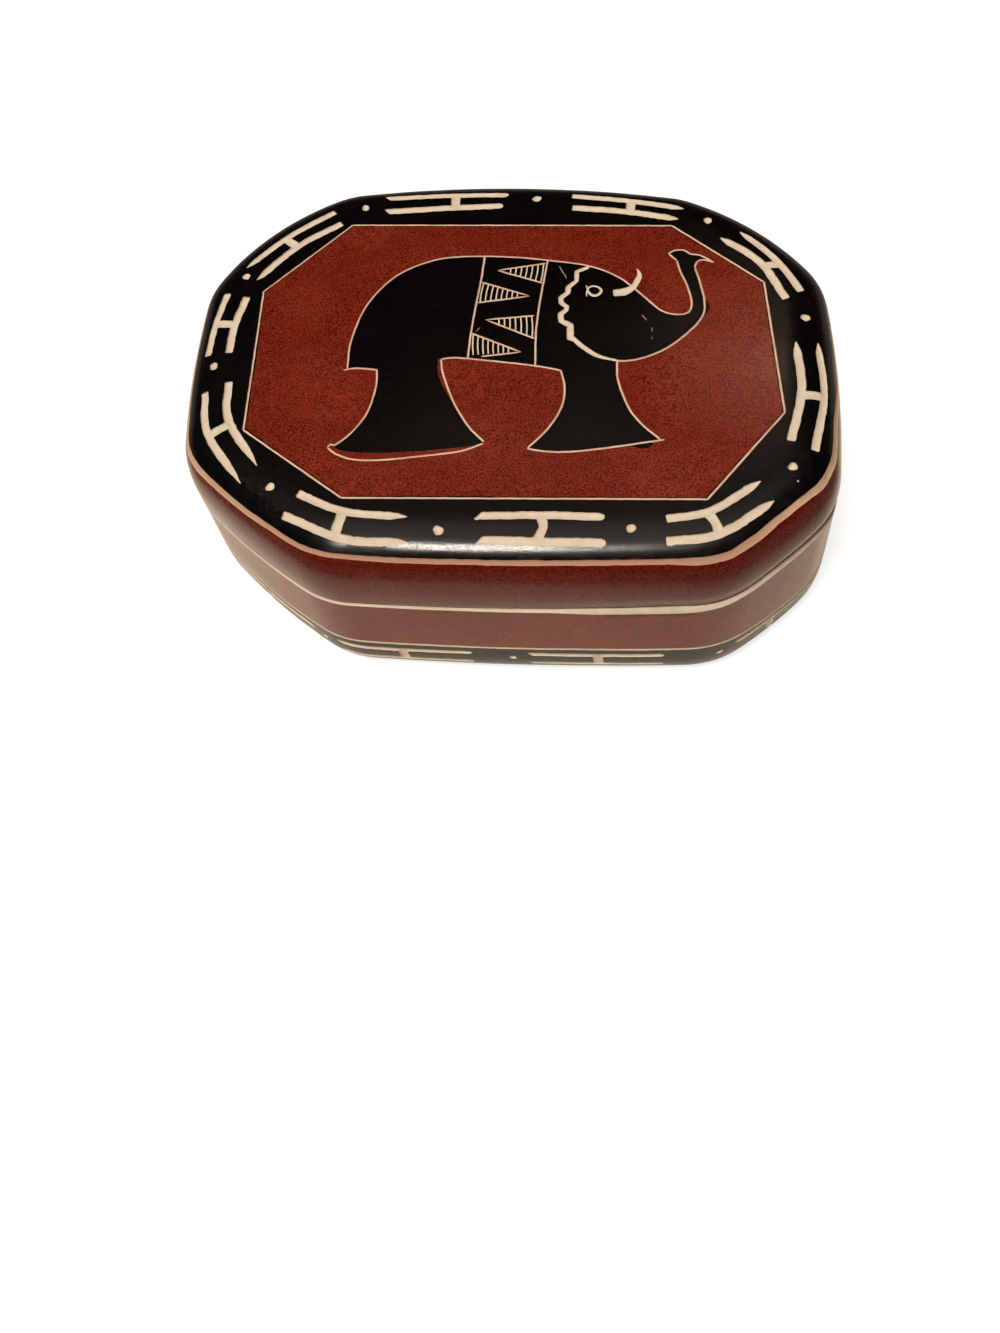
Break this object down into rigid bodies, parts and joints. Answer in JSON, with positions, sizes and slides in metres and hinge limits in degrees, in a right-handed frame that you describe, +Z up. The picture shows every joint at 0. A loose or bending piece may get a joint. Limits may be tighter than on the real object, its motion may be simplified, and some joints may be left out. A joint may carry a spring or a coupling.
{
  "type": "trinket box",
  "caption": "Small hollow stone box with cut corners, rounded shoulders and a lift-off lid seated on an inner lip, its top and edges carved and dyed.",
  "frame": {"origin": "under the middle of the box, on the surface that it stands on", "axes": "+X along the box's length, to the right of the pictured view, +Y to its back, +Z up, the way the lid lifts"},
  "size_m": [0.1272, 0.1012, 0.0393],
  "materials": {
    "base_stone": "red-brown dyed soapstone, satin wax",
    "lid_stone": "red-brown and black dyed soapstone, carved to the bare stone, satin wax"
  },
  "bodies": {
    "base": {"base": "base_stone"},
    "lid": {"lid": "lid_stone"}
  },
  "joints": [
    {"name": "lid_lift", "type": "slide", "parent": "base", "child": "lid", "axis": [0, 0, 1], "range_m": [0, 0.06]}
  ]
}
